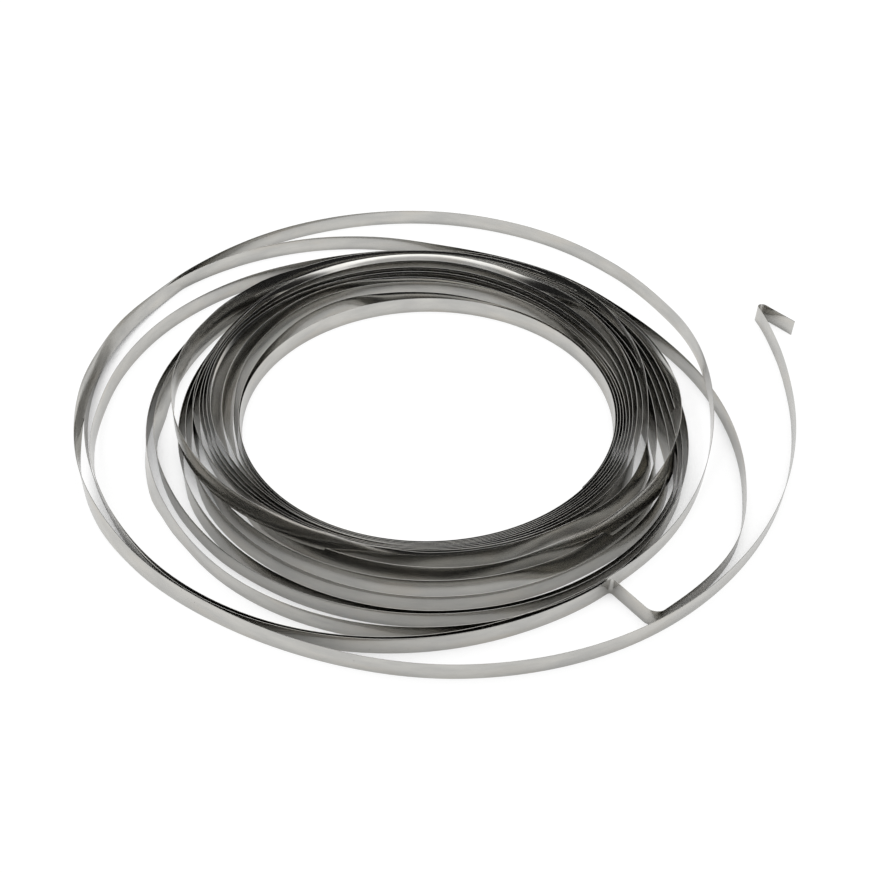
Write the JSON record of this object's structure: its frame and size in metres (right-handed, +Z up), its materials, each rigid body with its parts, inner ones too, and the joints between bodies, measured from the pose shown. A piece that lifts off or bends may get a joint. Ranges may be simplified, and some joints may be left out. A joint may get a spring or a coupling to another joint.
{
  "type": "coil of steel strip",
  "caption": "Loose coil of narrow bright steel strip standing on edge: wound turns round an open bore, slack outer turns, a kink and a hooked free end.",
  "frame": {"origin": "middle of the bore at floor level", "axes": "+Z up along the bore, +X towards the side where the hooked tail stands, +Y towards the widest slack turn"},
  "size_m": [0.3293, 0.3064, 0.0167],
  "materials": {
    "bright_strip": "satin"
  },
  "bodies": {
    "root": {"steel_strip": "bright_strip"}
  },
  "joints": []
}
